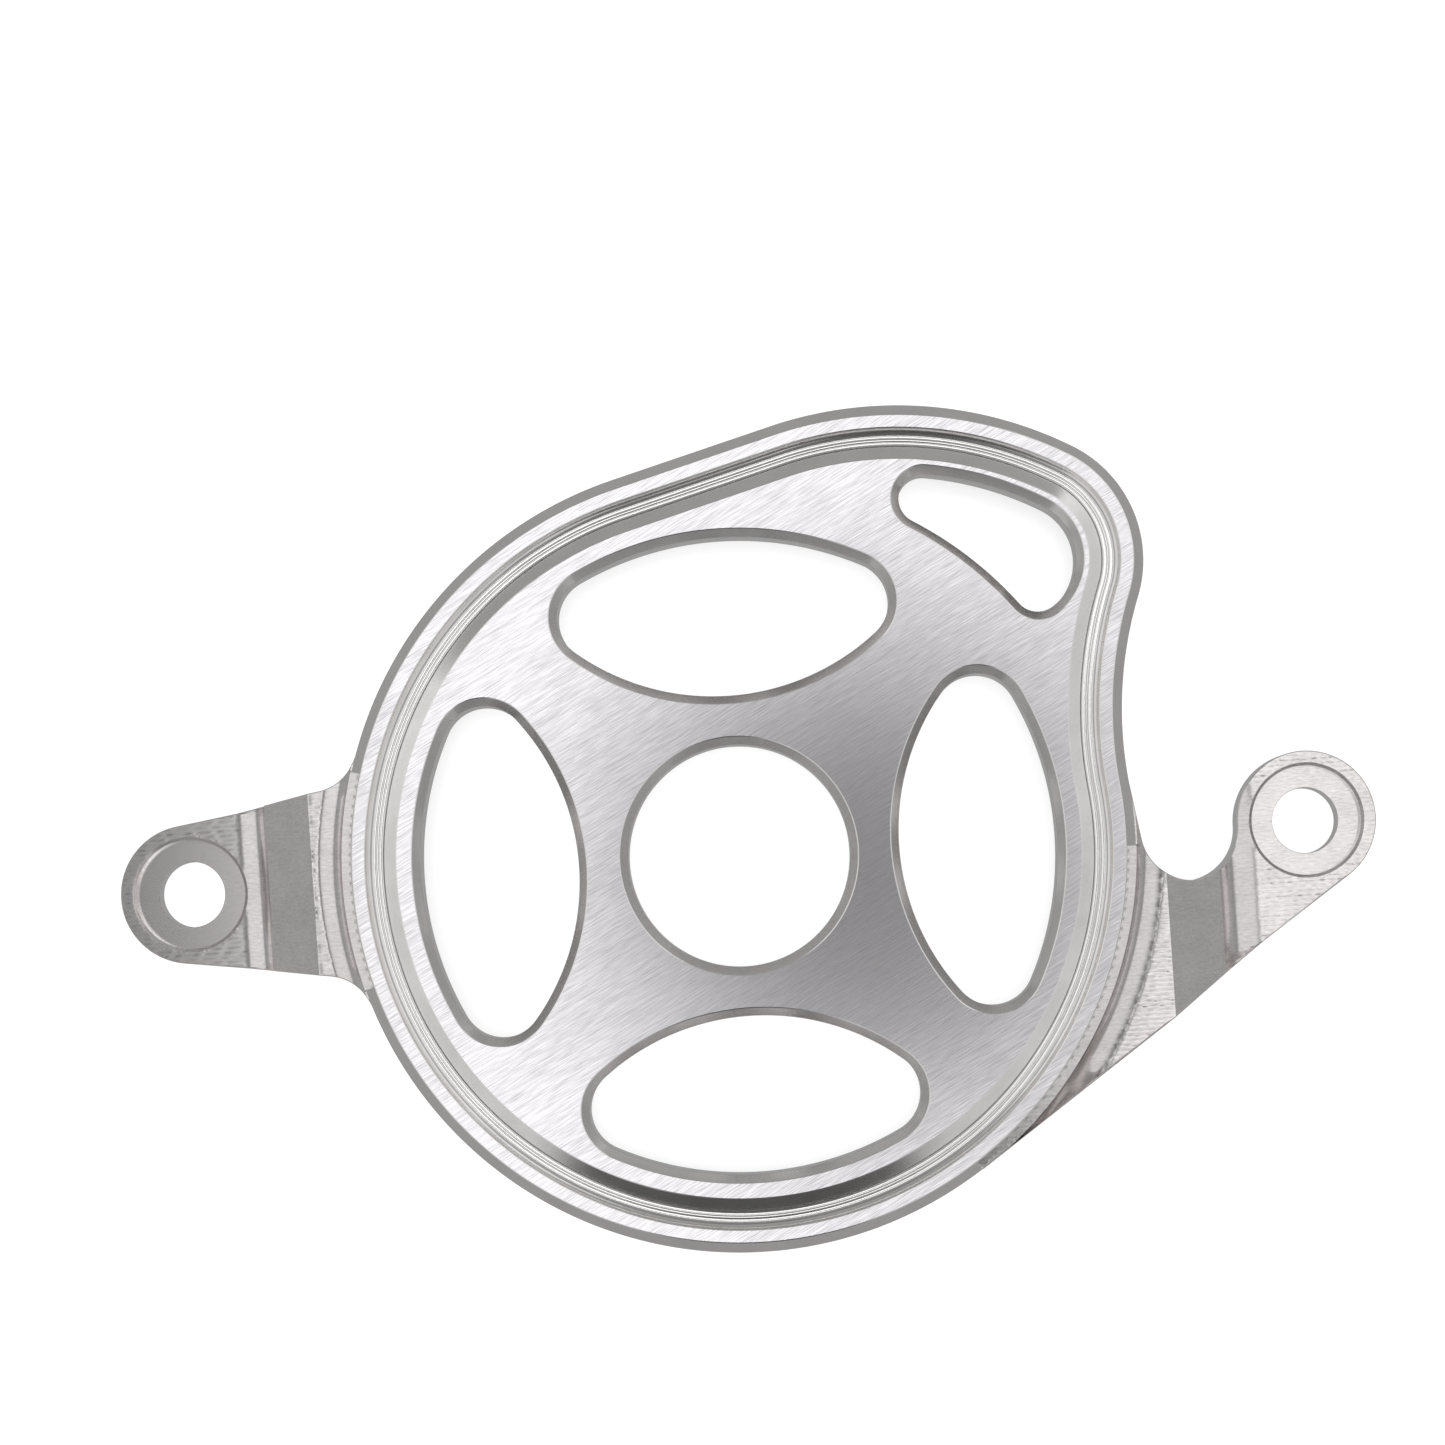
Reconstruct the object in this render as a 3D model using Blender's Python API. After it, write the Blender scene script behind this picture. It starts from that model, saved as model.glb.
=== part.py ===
"""Motor cover for a motorbike, milled from one piece of aluminium.

A round skirted cap with a lobe on its upper right, and two ears that take one
bolt each. Along its edge the face has a 45 degree chamfer, a flat rim and a
round-bottomed groove. Inside the groove stands a face plate with a central
hole, four lens-shaped windows and a slot in the lobe. The ears lie much lower
than the face: from the cap they step down over a fillet, a ledge, a 45 degree
ramp and a cove to a flat pad with a counterbored bolt hole.

Metres, +Z out of the face. X runs along the line through both bolt holes,
which crosses the axis of the main circle. All plan sizes are measured from
that axis. At the end the part is moved so that the origin is in the middle of
its box, at the underside.
"""
import math

import bmesh
import bpy

# Cap in plan: main circle, lobe on a circle as large, the lobe's nose and the hollow flank below it
MAIN_RADIUS = 0.0530
LOBE_SHIFT = 0.0223
LOBE_BEARING = math.radians(15.0)
NOSE_RADIUS = 0.0170
NOSE_BEARING = math.radians(60.0)
FLANK_RADIUS = 0.0525

# Heights above the underside
RIM_HEIGHT = 0.0225
PLATE_RISE = 0.0005
LEDGE_HEIGHT = 0.0185
PAD_THICKNESS = 0.0065

# Cap in section, from the outer wall inwards
RIM_CHAMFER = 0.0014
RIM_WIDTH = 0.0017
GROOVE_WIDTH = 0.0032
GROOVE_DEPTH = 0.0009
GROOVE_CUSP = 0.00015
PLATE_BEVEL = 0.0010
PLATE_THICKNESS = 0.0070
SKIRT_WALL = 0.0055
POCKET_FILLET = 0.0020
EDGE_BREAK = 0.0004

# Openings in the face plate
OPENING_CHAMFER = 0.0011
HUB_HOLE_RADIUS = 0.0159
WINDOW_COUNT = 4
WINDOW_EDGE_WALL = 0.0094
WINDOW_HUB_WALL = 0.0044
WINDOW_INNER_CURVE = 0.0330
WINDOW_CORNER = 0.0068
SLOT_EDGE_WALL = 0.0080
SLOT_INNER_SET_IN = 0.0038
SLOT_CORNER = 0.0044

# Ears in plan, their bolt axes measured from the main circle's edge
LEFT_BOLT_OUT = 0.0225
RIGHT_BOLT_OUT = 0.0247
TIP_RADIUS = 0.0095
LEFT_EAR_TAPER = math.radians(8.2)
LEFT_ROOT_FILLET = 0.0072
NOTCH_RADIUS = 0.0072
BOLT_HOLE_RADIUS = 0.0045
COUNTERBORE_RADIUS = 0.0075
COUNTERBORE_DEPTH = 0.0020
COUNTERBORE_CHAMFER = 0.0004

# Ears in section along X: ledge at its narrowest, ramp and cove
LEFT_LEDGE_RUN = 0.0007
LEFT_RAMP_RUN = 0.0067
LEFT_COVE_RUN = 0.0037
RIGHT_LEDGE_RUN = 0.0004
RIGHT_RAMP_RUN = 0.0079
RIGHT_COVE_RUN = 0.0058
RAMP_SLOPE = math.radians(45.0)

# Fillet and narrow band where the cap's wall comes down to an ear
WALL_FILLET = 0.0036
BAND_SLOPE = math.radians(11.0)
LEFT_BAND_ARC = (math.radians(163.9), math.radians(196.1))
RIGHT_BAND_ARC = (math.radians(-62.0), math.radians(-2.3))

# Fineness of the round stretches, and how far solids run past or into each other
ARC_STEP = math.radians(3.0)
CORNER_STEP = math.radians(9.0)
FILLET_FLATS = 8
GROOVE_FLATS = 5
POCKET_FLATS = 3
OVERRUN = 0.0010
ROOT_OVERLAP = 0.0025

WINDOW_OUTER_REACH = MAIN_RADIUS - WINDOW_EDGE_WALL
WINDOW_INNER_REACH = HUB_HOLE_RADIUS + WINDOW_HUB_WALL
SLOT_INNER_REACH = MAIN_RADIUS - SLOT_INNER_SET_IN
LEFT_BOLT_REACH = MAIN_RADIUS + LEFT_BOLT_OUT
RIGHT_BOLT_REACH = MAIN_RADIUS + RIGHT_BOLT_OUT
PLATE_HEIGHT = RIM_HEIGHT + PLATE_RISE
PLATE_UNDERSIDE = PLATE_HEIGHT - PLATE_THICKNESS
GROOVE_FLOOR = RIM_HEIGHT - GROOVE_DEPTH
PLATE_EDGE = RIM_CHAMFER + RIM_WIDTH + GROOVE_WIDTH + PLATE_BEVEL
CHAMFER_FOOT = RIM_HEIGHT - RIM_CHAMFER


def polar(radius, angle, centre=(0.0, 0.0)):
    """The point at a distance and an angle from a centre."""
    return (centre[0] + radius * math.cos(angle), centre[1] + radius * math.sin(angle))


def arc(centre, radius, start, end, step=ARC_STEP):
    """Points along an arc from one angle to another, both ends included."""
    count = max(2, math.ceil(abs(end - start) / step - 1e-6))
    return [polar(radius, start + (end - start) * i / count, centre) for i in range(count + 1)]


def bearing(point, centre=(0.0, 0.0)):
    """The angle at which a point lies, seen from a centre."""
    return math.atan2(point[1] - centre[1], point[0] - centre[0])


def meeting(centre_a, reach_a, centre_b, reach_b, side):
    """The point at given distances from two centres, left (+1) or right (-1) of the line a to b."""
    along = math.dist(centre_a, centre_b)
    foot = (reach_a ** 2 - reach_b ** 2 + along ** 2) / (2.0 * along)
    off = math.sqrt(reach_a ** 2 - foot ** 2) * side
    direction = bearing(centre_b, centre_a)
    on_line = polar(foot, direction, centre_a)
    return polar(off, direction + math.pi / 2.0, on_line)


def following(angle, start):
    """The same angle, counted on so that it comes after the start."""
    return start + (angle - start) % math.tau


MAIN_CENTRE = (0.0, 0.0)
LOBE_CENTRE = polar(LOBE_SHIFT, LOBE_BEARING)
NOSE_CENTRE = polar(MAIN_RADIUS - NOSE_RADIUS, NOSE_BEARING, LOBE_CENTRE)
FLANK_CENTRE = meeting(MAIN_CENTRE, MAIN_RADIUS + FLANK_RADIUS,
                       NOSE_CENTRE, NOSE_RADIUS + FLANK_RADIUS, -1)


def cap_outline(inset):
    """The cap's edge, anticlockwise, moved inwards by the inset.

    Main circle, hollow flank, nose and lobe run into each other smoothly, and a
    straight edge leads from the lobe back to the main circle. Every inset gives
    the same number of points, so that two outlines can be joined point by point.
    """
    flank_leaves = bearing(FLANK_CENTRE)
    nose_starts = bearing(FLANK_CENTRE, NOSE_CENTRE)
    straight = LOBE_BEARING + math.pi / 2.0
    flank = arc(FLANK_CENTRE, FLANK_RADIUS + inset, flank_leaves + math.pi,
                nose_starts + math.pi)
    nose = arc(NOSE_CENTRE, NOSE_RADIUS - inset, nose_starts, NOSE_BEARING, CORNER_STEP / 2.0)
    lobe = arc(LOBE_CENTRE, MAIN_RADIUS - inset, NOSE_BEARING, straight)
    main = arc(MAIN_CENTRE, MAIN_RADIUS - inset, straight, following(flank_leaves, straight))
    return flank[:-1] + nose[:-1] + lobe + main[:-1]


def window_outline(inset):
    """One lens window above the axis: two discs' common part, its two ends rounded."""
    curve_centre = (0.0, WINDOW_INNER_REACH + WINDOW_INNER_CURVE)
    right = meeting(MAIN_CENTRE, WINDOW_OUTER_REACH - WINDOW_CORNER,
                    curve_centre, WINDOW_INNER_CURVE - WINDOW_CORNER, -1)
    left = (-right[0], right[1])
    corner = WINDOW_CORNER - inset
    outer = arc(MAIN_CENTRE, WINDOW_OUTER_REACH - inset, bearing(right), bearing(left))
    right_low = following(bearing(right, curve_centre), 0.0)
    left_low = following(bearing(left, curve_centre), 0.0)
    inner = arc(curve_centre, WINDOW_INNER_CURVE - inset, left_low, right_low, 2.0 * ARC_STEP)
    left_end = arc(left, corner, bearing(left), left_low, CORNER_STEP)
    right_end = arc(right, corner, right_low, following(bearing(right), right_low), CORNER_STEP)
    return outer[:-1] + left_end[:-1] + inner[:-1] + right_end[:-1]


def slot_outline(inset):
    """The slot in the lobe, between the cap's edge and a circle about the main axis."""
    lobe_reach = MAIN_RADIUS - SLOT_EDGE_WALL
    nose_reach = NOSE_RADIUS - SLOT_EDGE_WALL
    upper = meeting(MAIN_CENTRE, SLOT_INNER_REACH + SLOT_CORNER,
                    LOBE_CENTRE, lobe_reach - SLOT_CORNER, 1)
    lower = meeting(MAIN_CENTRE, SLOT_INNER_REACH + SLOT_CORNER,
                    NOSE_CENTRE, nose_reach - SLOT_CORNER, -1)
    corner = SLOT_CORNER - inset
    inner = arc(MAIN_CENTRE, SLOT_INNER_REACH + inset, bearing(upper), bearing(lower))
    lower_starts = bearing(lower) - math.pi
    lower_ends = following(bearing(lower, NOSE_CENTRE), lower_starts)
    lower_end = arc(lower, corner, lower_starts, lower_ends, CORNER_STEP)
    nose = arc(NOSE_CENTRE, nose_reach - inset, lower_ends,
               following(NOSE_BEARING, lower_ends), CORNER_STEP)
    upper_starts = bearing(upper, LOBE_CENTRE)
    lobe = arc(LOBE_CENTRE, lobe_reach - inset, NOSE_BEARING, upper_starts)
    upper_end = arc(upper, corner, upper_starts,
                    following(bearing(upper) + math.pi, upper_starts), CORNER_STEP)
    return lower_end[:-1] + nose[:-1] + lobe[:-1] + upper_end[:-1] + inner[:-1]


def left_ear_outline():
    """The left ear, anticlockwise: round tip, widening sides and fillets into the cap."""
    tip = (-LEFT_BOLT_REACH, 0.0)
    normal = math.pi / 2.0 + LEFT_EAR_TAPER
    # the upper fillet's centre lies one fillet radius off the side and off the main circle
    base = polar(TIP_RADIUS + LEFT_ROOT_FILLET, normal, tip)
    reach = MAIN_RADIUS + LEFT_ROOT_FILLET
    half = base[0] * math.cos(LEFT_EAR_TAPER) + base[1] * math.sin(LEFT_EAR_TAPER)
    gap = math.hypot(*base) ** 2 - reach ** 2
    centre = polar(-half - math.sqrt(half ** 2 - gap), LEFT_EAR_TAPER, base)
    inner_radius = MAIN_RADIUS - ROOT_OVERLAP
    touch = bearing(centre)
    fillet = arc(centre, LEFT_ROOT_FILLET, touch - math.pi, normal - math.pi, CORNER_STEP)
    tip_arc = arc(tip, TIP_RADIUS, normal, math.tau - normal)
    lower = [(x, -y) for x, y in reversed(fillet)]
    inside = arc(MAIN_CENTRE, inner_radius, math.tau - touch, touch)
    return fillet + tip_arc + lower + inside


def right_ear_outline():
    """The right ear: straight lower side, round tip, and the round notch beside the cap."""
    tip = (RIGHT_BOLT_REACH, 0.0)
    lean = math.asin((MAIN_RADIUS - TIP_RADIUS) / RIGHT_BOLT_REACH)
    low = lean - math.pi / 2.0
    notch_reach = RIGHT_BOLT_REACH - TIP_RADIUS - NOTCH_RADIUS
    notch = (notch_reach, 0.0)
    cross = math.acos((MAIN_RADIUS + NOTCH_RADIUS) / notch_reach)
    tip_arc = arc(tip, TIP_RADIUS, low, math.pi)
    notch_arc = arc(notch, NOTCH_RADIUS, 0.0, cross - math.pi, 2.0 * ARC_STEP)
    inside = arc(MAIN_CENTRE, MAIN_RADIUS - ROOT_OVERLAP, cross, low)
    return ([polar(MAIN_RADIUS, low)] + tip_arc + notch_arc[1:]
            + [polar(MAIN_RADIUS, cross)] + inside)


def ear_profile(ledge_run, ramp_run, cove_run):
    """The ear's section along X as (distance from the axis, height), from the ledge to the pad.

    The ramp falls from the ledge. Where it ends, a cove turns down to the pad.
    A cove too small for the fall starts with an upright wall.
    """
    ramp_top = MAIN_RADIUS + WALL_FILLET + ledge_run
    wall = ramp_top + ramp_run
    wall_height = LEDGE_HEIGHT - ramp_run * math.tan(RAMP_SLOPE)
    fall = wall_height - PAD_THICKNESS
    foot = wall + cove_run
    if fall >= cove_run:
        radius = cove_run
        sweep = math.pi / 2.0
    else:
        radius = (cove_run ** 2 + fall ** 2) / (2.0 * fall)
        sweep = math.asin(cove_run / radius)
    centre = (foot, PAD_THICKNESS + radius)
    cove = arc(centre, radius, -math.pi / 2.0 - sweep, -math.pi / 2.0, CORNER_STEP)
    return [(ramp_top, LEDGE_HEIGHT), (wall, wall_height)] + cove[(fall < cove_run):]


def root_section(banded):
    """Section of the wall and fillet over an ear's root, as (inset from the cap's edge, height).

    With the band, the wall ends in a narrow face that rises a little towards the rim.
    Beside it the cap keeps its chamfer, and the fillet ends on the chamfer's plane.
    """
    axis_height = LEDGE_HEIGHT + WALL_FILLET
    deep = LEDGE_HEIGHT - ROOT_OVERLAP
    inner = RIM_CHAMFER + RIM_WIDTH / 4.0
    if banded:
        start = 0.0
        top = [(inner, axis_height + inner * math.tan(BAND_SLOPE))]
    else:
        reach = (axis_height - CHAMFER_FOOT + WALL_FILLET) / WALL_FILLET
        start = math.asin(min(1.0, reach / math.sqrt(2.0))) - math.pi / 4.0
        top = [(inner, CHAMFER_FOOT)]
    turns = [start + (math.pi / 2.0 - start) * i / FILLET_FLATS for i in range(FILLET_FLATS + 1)]
    fillet = [(WALL_FILLET * (math.cos(a) - 1.0), axis_height - WALL_FILLET * math.sin(a)) for a in turns]
    return top + fillet + [(-WALL_FILLET, deep), (inner, deep)]


def cap_section():
    """The cap's section as (inset, height), from the face plate's edge out and round to the pocket.

    The skirt runs on below the underside, with its broken edges, until it is faced off.
    """
    groove_outer = RIM_CHAMFER + RIM_WIDTH
    groove_inner = PLATE_EDGE - PLATE_BEVEL
    cusp = (groove_outer + groove_inner) / 2.0
    half = GROOVE_WIDTH / 2.0
    quarter = [math.pi / 2.0 * i / GROOVE_FLATS for i in range(GROOVE_FLATS)]
    lift = PLATE_HEIGHT - PLATE_BEVEL - GROOVE_FLOOR
    inner_wall = [(groove_inner - half * (1.0 - math.cos(a)), GROOVE_FLOOR + lift * (1.0 - math.sin(a)))
                  for a in quarter]
    outer_wall = [(groove_outer + half * (1.0 - math.cos(a)), RIM_HEIGHT - GROOVE_DEPTH * math.sin(a))
                  for a in reversed(quarter)]
    groove = inner_wall + [(cusp, GROOVE_FLOOR + GROOVE_CUSP)] + outer_wall
    below = EDGE_BREAK + OVERRUN
    turns = [math.pi / 2.0 * i / POCKET_FLATS for i in range(POCKET_FLATS + 1)]
    pocket = [(SKIRT_WALL + POCKET_FILLET * (1.0 - math.cos(a)),
               PLATE_UNDERSIDE - POCKET_FILLET * (1.0 - math.sin(a))) for a in turns]
    return ([(PLATE_EDGE, PLATE_HEIGHT)] + groove
            + [(RIM_CHAMFER, RIM_HEIGHT), (0.0, CHAMFER_FOOT), (0.0, EDGE_BREAK), (below, -OVERRUN),
               (SKIRT_WALL - below, -OVERRUN), (SKIRT_WALL, EDGE_BREAK)] + pocket)


def mesh_object(name, corners, faces):
    """An object from corners and faces, all faces turned outwards."""
    mesh = bpy.data.meshes.new(name)
    mesh.from_pydata(corners, [], faces)
    work = bmesh.new()
    work.from_mesh(mesh)
    bmesh.ops.remove_doubles(work, verts=work.verts, dist=1e-7)
    bmesh.ops.recalc_face_normals(work, faces=work.faces)
    work.to_mesh(mesh)
    work.free()
    thing = bpy.data.objects.new(name, mesh)
    bpy.context.scene.collection.objects.link(thing)
    return thing


def loft(name, loops):
    """A closed solid through loops of equal count, its first and last loop capped."""
    count = len(loops[0])
    corners = [corner for loop in loops for corner in loop]
    faces = [[a * count + i, a * count + (i + 1) % count,
              (a + 1) * count + (i + 1) % count, (a + 1) * count + i]
             for a in range(len(loops) - 1) for i in range(count)]
    faces.append(list(range(count)))
    faces.append(list(range((len(loops) - 1) * count, len(loops) * count)))
    return mesh_object(name, corners, faces)


def prism(name, outline, low, high):
    """A plan outline raised between two heights."""
    return loft(name, [[(x, y, z) for x, y in outline] for z in (low, high)])


def bar(name, section, half_width):
    """A section in X and Z carried along Y."""
    return loft(name, [[(x, y, z) for x, z in section] for y in (-half_width, half_width)])


def root_ring(start, end, band_arc):
    """The wall, fillet and band over an ear's root, carried round the main circle."""
    stretches = ((start, band_arc[0], False), (*band_arc, True), (band_arc[1], end, False))
    loops = []
    for low, high, banded in stretches:
        if high <= low:
            continue
        count = math.ceil((high - low) / ARC_STEP)
        gap = ARC_STEP / 4.0 if banded else 0.0
        for i in range(count + 1):
            angle = low + gap + (high - low - 2.0 * gap) * i / count
            loops.append([(*polar(MAIN_RADIUS - inset, angle), z) for inset, z in root_section(banded)])
    return loft("ring", loops)


def combine(base, other, operation):
    """Joins, cuts or intersects the base with another object, which is used up."""
    modifier = base.modifiers.new(operation.lower(), "BOOLEAN")
    modifier.operation = operation
    modifier.solver = "EXACT"
    modifier.object = other
    depsgraph = bpy.context.evaluated_depsgraph_get()
    result = bpy.data.meshes.new_from_object(base.evaluated_get(depsgraph))
    base.modifiers.clear()
    base.data = result
    bpy.data.objects.remove(other)
    return base


def ear(name, outline, side, ledge_run, ramp_run, cove_run, tip_reach, band_arc):
    """One ear: a bar with the stepped section and the wall over its root, both trimmed to its plan."""
    far = tip_reach + TIP_RADIUS + OVERRUN
    low = -2.0 * OVERRUN
    section = ([(MAIN_RADIUS / 2.0, low), (MAIN_RADIUS / 2.0, LEDGE_HEIGHT)]
               + ear_profile(ledge_run, ramp_run, cove_run) + [(far, PAD_THICKNESS), (far, low)])
    solid = bar(name, [(side * x, z) for x, z in section], 2.0 * MAIN_RADIUS)
    middle = bearing((side, 0.0))
    spread = [(bearing(point) - middle + math.pi) % math.tau - math.pi + middle
              for point in outline if math.hypot(*point) <= MAIN_RADIUS + WALL_FILLET]
    combine(solid, root_ring(min(spread) - ARC_STEP, max(spread) + ARC_STEP, band_arc), "UNION")
    return combine(solid, prism("plan", outline, 2.0 * low, RIM_HEIGHT + OVERRUN), "INTERSECT")


def opening(name, outline_at):
    """A cutter for an opening in the face plate, with a 45 degree chamfer at the face."""
    levels = ((OPENING_CHAMFER, PLATE_UNDERSIDE - OVERRUN),
              (OPENING_CHAMFER, PLATE_HEIGHT - OPENING_CHAMFER),
              (-OVERRUN, PLATE_HEIGHT + OVERRUN))
    return loft(name, [[(x, y, z) for x, y in outline_at(inset)] for inset, z in levels])


def turned(outline, angle):
    """An outline turned about the main axis."""
    return [polar(math.hypot(x, y), math.atan2(y, x) + angle) for x, y in outline]


def bolt_hole(name, reach):
    """A stepped cutter for a bolt hole with its counterbore, chamfered at 45 degrees where it opens."""
    floor = PAD_THICKNESS - COUNTERBORE_DEPTH
    widest = COUNTERBORE_RADIUS + COUNTERBORE_CHAMFER + OVERRUN
    levels = ((BOLT_HOLE_RADIUS, -OVERRUN), (BOLT_HOLE_RADIUS, floor),
              (COUNTERBORE_RADIUS, floor), (COUNTERBORE_RADIUS, PAD_THICKNESS - COUNTERBORE_CHAMFER),
              (widest, PAD_THICKNESS + OVERRUN))
    return loft(name, [[(x, y, z) for x, y in arc((reach, 0.0), radius, 0.0, math.tau, 2.0 * ARC_STEP)[:-1]]
                       for radius, z in levels])


def aluminium():
    """Bare milled aluminium."""
    material = bpy.data.materials.new("milled_aluminium")
    material.use_nodes = True
    shader = material.node_tree.nodes["Principled BSDF"]
    shader.inputs["Base Color"].default_value = (0.80, 0.80, 0.81, 1.0)
    shader.inputs["Metallic"].default_value = 1.0
    shader.inputs["Roughness"].default_value = 0.34
    return material


def centre_on_base(mesh):
    """Moves the mesh so that the origin is in the middle of its box, at the underside."""
    lows = [min(v.co[axis] for v in mesh.vertices) for axis in range(3)]
    highs = [max(v.co[axis] for v in mesh.vertices) for axis in range(3)]
    for vertex in mesh.vertices:
        vertex.co.x -= (lows[0] + highs[0]) / 2.0
        vertex.co.y -= (lows[1] + highs[1]) / 2.0
        vertex.co.z -= lows[2]


def motor_cover():
    """The whole cover as one solid."""
    cover = loft("motor_cover", [[(x, y, z) for x, y in cap_outline(inset)] for inset, z in cap_section()])
    combine(cover, ear("left_ear", left_ear_outline(), -1, LEFT_LEDGE_RUN, LEFT_RAMP_RUN,
                       LEFT_COVE_RUN, LEFT_BOLT_REACH, LEFT_BAND_ARC), "UNION")
    combine(cover, ear("right_ear", right_ear_outline(), 1, RIGHT_LEDGE_RUN, RIGHT_RAMP_RUN,
                       RIGHT_COVE_RUN, RIGHT_BOLT_REACH, RIGHT_BAND_ARC), "UNION")
    below = arc(MAIN_CENTRE, 3.0 * MAIN_RADIUS, 0.0, math.tau, math.pi / 2.0)[:-1]
    combine(cover, prism("facing_cut", below, -RIM_HEIGHT, 0.0), "DIFFERENCE")
    combine(cover, opening("hub_hole", lambda inset: arc(MAIN_CENTRE, HUB_HOLE_RADIUS - inset, 0.0,
                                                         math.tau, 1.5 * ARC_STEP)[:-1]), "DIFFERENCE")
    for index in range(WINDOW_COUNT):
        turn = math.tau * index / WINDOW_COUNT
        combine(cover, opening("window", lambda inset: turned(window_outline(inset), turn)), "DIFFERENCE")
    combine(cover, opening("slot", slot_outline), "DIFFERENCE")
    for reach in (-LEFT_BOLT_REACH, RIGHT_BOLT_REACH):
        combine(cover, bolt_hole("bolt_hole", reach), "DIFFERENCE")
    centre_on_base(cover.data)
    cover.data.materials.clear()
    cover.data.materials.append(aluminium())
    cover.data.shade_smooth()
    cover.data.set_sharp_from_angle(angle=math.radians(25.0))
    return cover


for thing in list(bpy.data.objects):
    bpy.data.objects.remove(thing)

motor_cover()
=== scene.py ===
import math

import bmesh
import bpy
import numpy as np
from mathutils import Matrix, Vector
from mathutils.geometry import delaunay_2d_cdt


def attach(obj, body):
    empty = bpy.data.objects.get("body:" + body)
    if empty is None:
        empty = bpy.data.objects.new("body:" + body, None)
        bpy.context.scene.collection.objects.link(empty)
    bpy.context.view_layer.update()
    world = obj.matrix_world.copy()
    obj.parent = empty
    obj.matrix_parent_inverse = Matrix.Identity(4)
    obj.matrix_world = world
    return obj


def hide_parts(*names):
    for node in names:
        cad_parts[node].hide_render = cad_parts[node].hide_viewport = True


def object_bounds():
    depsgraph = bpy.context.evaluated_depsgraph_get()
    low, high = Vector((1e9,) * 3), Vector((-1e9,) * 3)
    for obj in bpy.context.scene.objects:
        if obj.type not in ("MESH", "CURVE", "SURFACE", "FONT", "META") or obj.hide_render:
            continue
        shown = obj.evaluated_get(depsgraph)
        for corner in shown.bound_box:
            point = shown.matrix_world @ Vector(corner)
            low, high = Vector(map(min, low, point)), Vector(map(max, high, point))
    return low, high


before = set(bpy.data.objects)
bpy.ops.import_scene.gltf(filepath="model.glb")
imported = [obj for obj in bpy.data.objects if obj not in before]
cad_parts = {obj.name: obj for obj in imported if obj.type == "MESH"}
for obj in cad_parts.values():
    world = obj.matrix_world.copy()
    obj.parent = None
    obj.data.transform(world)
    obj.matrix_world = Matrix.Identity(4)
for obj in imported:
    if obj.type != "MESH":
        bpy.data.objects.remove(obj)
CAD_BOX = [list(corner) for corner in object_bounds()]

# Round cap
# The body of the cover: a skirt, a chamfered rim, a groove and a face plate, milled in one with the ears from
# solid aluminium, front and back. One cutter runs round the edge for the chamfer and the groove, and the face
# is brushed last, so its grain stops at every edge.
AXIS = (-0.001101, -0.002892)
MAIN_RADIUS = 0.0530
LOBE_OFFSET = 0.0223
LOBE_BEARING = math.radians(15.0)
LOBE_CENTRE = (LOBE_OFFSET * math.cos(LOBE_BEARING), LOBE_OFFSET * math.sin(LOBE_BEARING))
LOBE_END = math.radians(105.0)
NOSE_RADIUS = 0.0170
NOSE_BEARING = math.radians(60.0)
NOSE_CENTRE = (LOBE_CENTRE[0] + (MAIN_RADIUS - NOSE_RADIUS) * math.cos(NOSE_BEARING),
               LOBE_CENTRE[1] + (MAIN_RADIUS - NOSE_RADIUS) * math.sin(NOSE_BEARING))
FLANK_RADIUS = 0.0525
RIM_HEIGHT = 0.0225
RIM_CHAMFER = 0.0014
RIM_WIDTH = 0.0017
PLATE_HEIGHT = 0.0230
PLATE_UNDERSIDE = 0.0160
PLATE_EDGE = 0.0073
PLATE_BEVEL = 0.0017
BEVEL_SLOPE = 0.70
GROOVE_FLOOR = 0.0216
GROOVE_MIDDLE = 0.00478
FLOOR_PITCH = 0.00082
FLOOR_LINE = 0.00041
FLOOR_RISE = 0.00015
WALL_SLOPES = (0.25, 1.15)  # the groove's outer wall, in radians at its foot and its top
SKIRT_WALL = 0.0055
SKIRT_BREAK = 0.0004
POCKET_FILLET = 0.0020
OPENING_CHAMFER = 0.0011
FILED_EDGE = 0.00008
SHARP_CORNER = math.radians(15.0)
SMOOTH_ANGLE = math.radians(14.0)
FINE_STEP = math.radians(1.0)
TIGHT_RADIUS = 0.020  # arcs tighter than this get finer steps
FEWEST_STATIONS = 4
WELD_REACH = 3e-6


def bearing(point, centre=(0.0, 0.0)):
    """The angle at which a point lies, seen from a centre."""
    return math.atan2(point[1] - centre[1], point[0] - centre[0])


def meeting(centre_a, reach_a, centre_b, reach_b, side):
    """The point at given distances from two centres, left (+1) or right (-1) of the line a to b.

    Its foot on that line lies at the first distance squared, less the second squared, plus the line's
    length squared, all over twice the length.
    """
    along = math.dist(centre_a, centre_b)
    foot = (reach_a ** 2 - reach_b ** 2 + along ** 2) / (2.0 * along)
    direction = bearing(centre_b, centre_a)
    angle = direction + side * math.acos(foot / reach_a)
    return (centre_a[0] + reach_a * math.cos(angle), centre_a[1] + reach_a * math.sin(angle))


def following(angle, start):
    """The same angle, counted on so that it comes after the start."""
    return start + (angle - start) % math.tau


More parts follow.
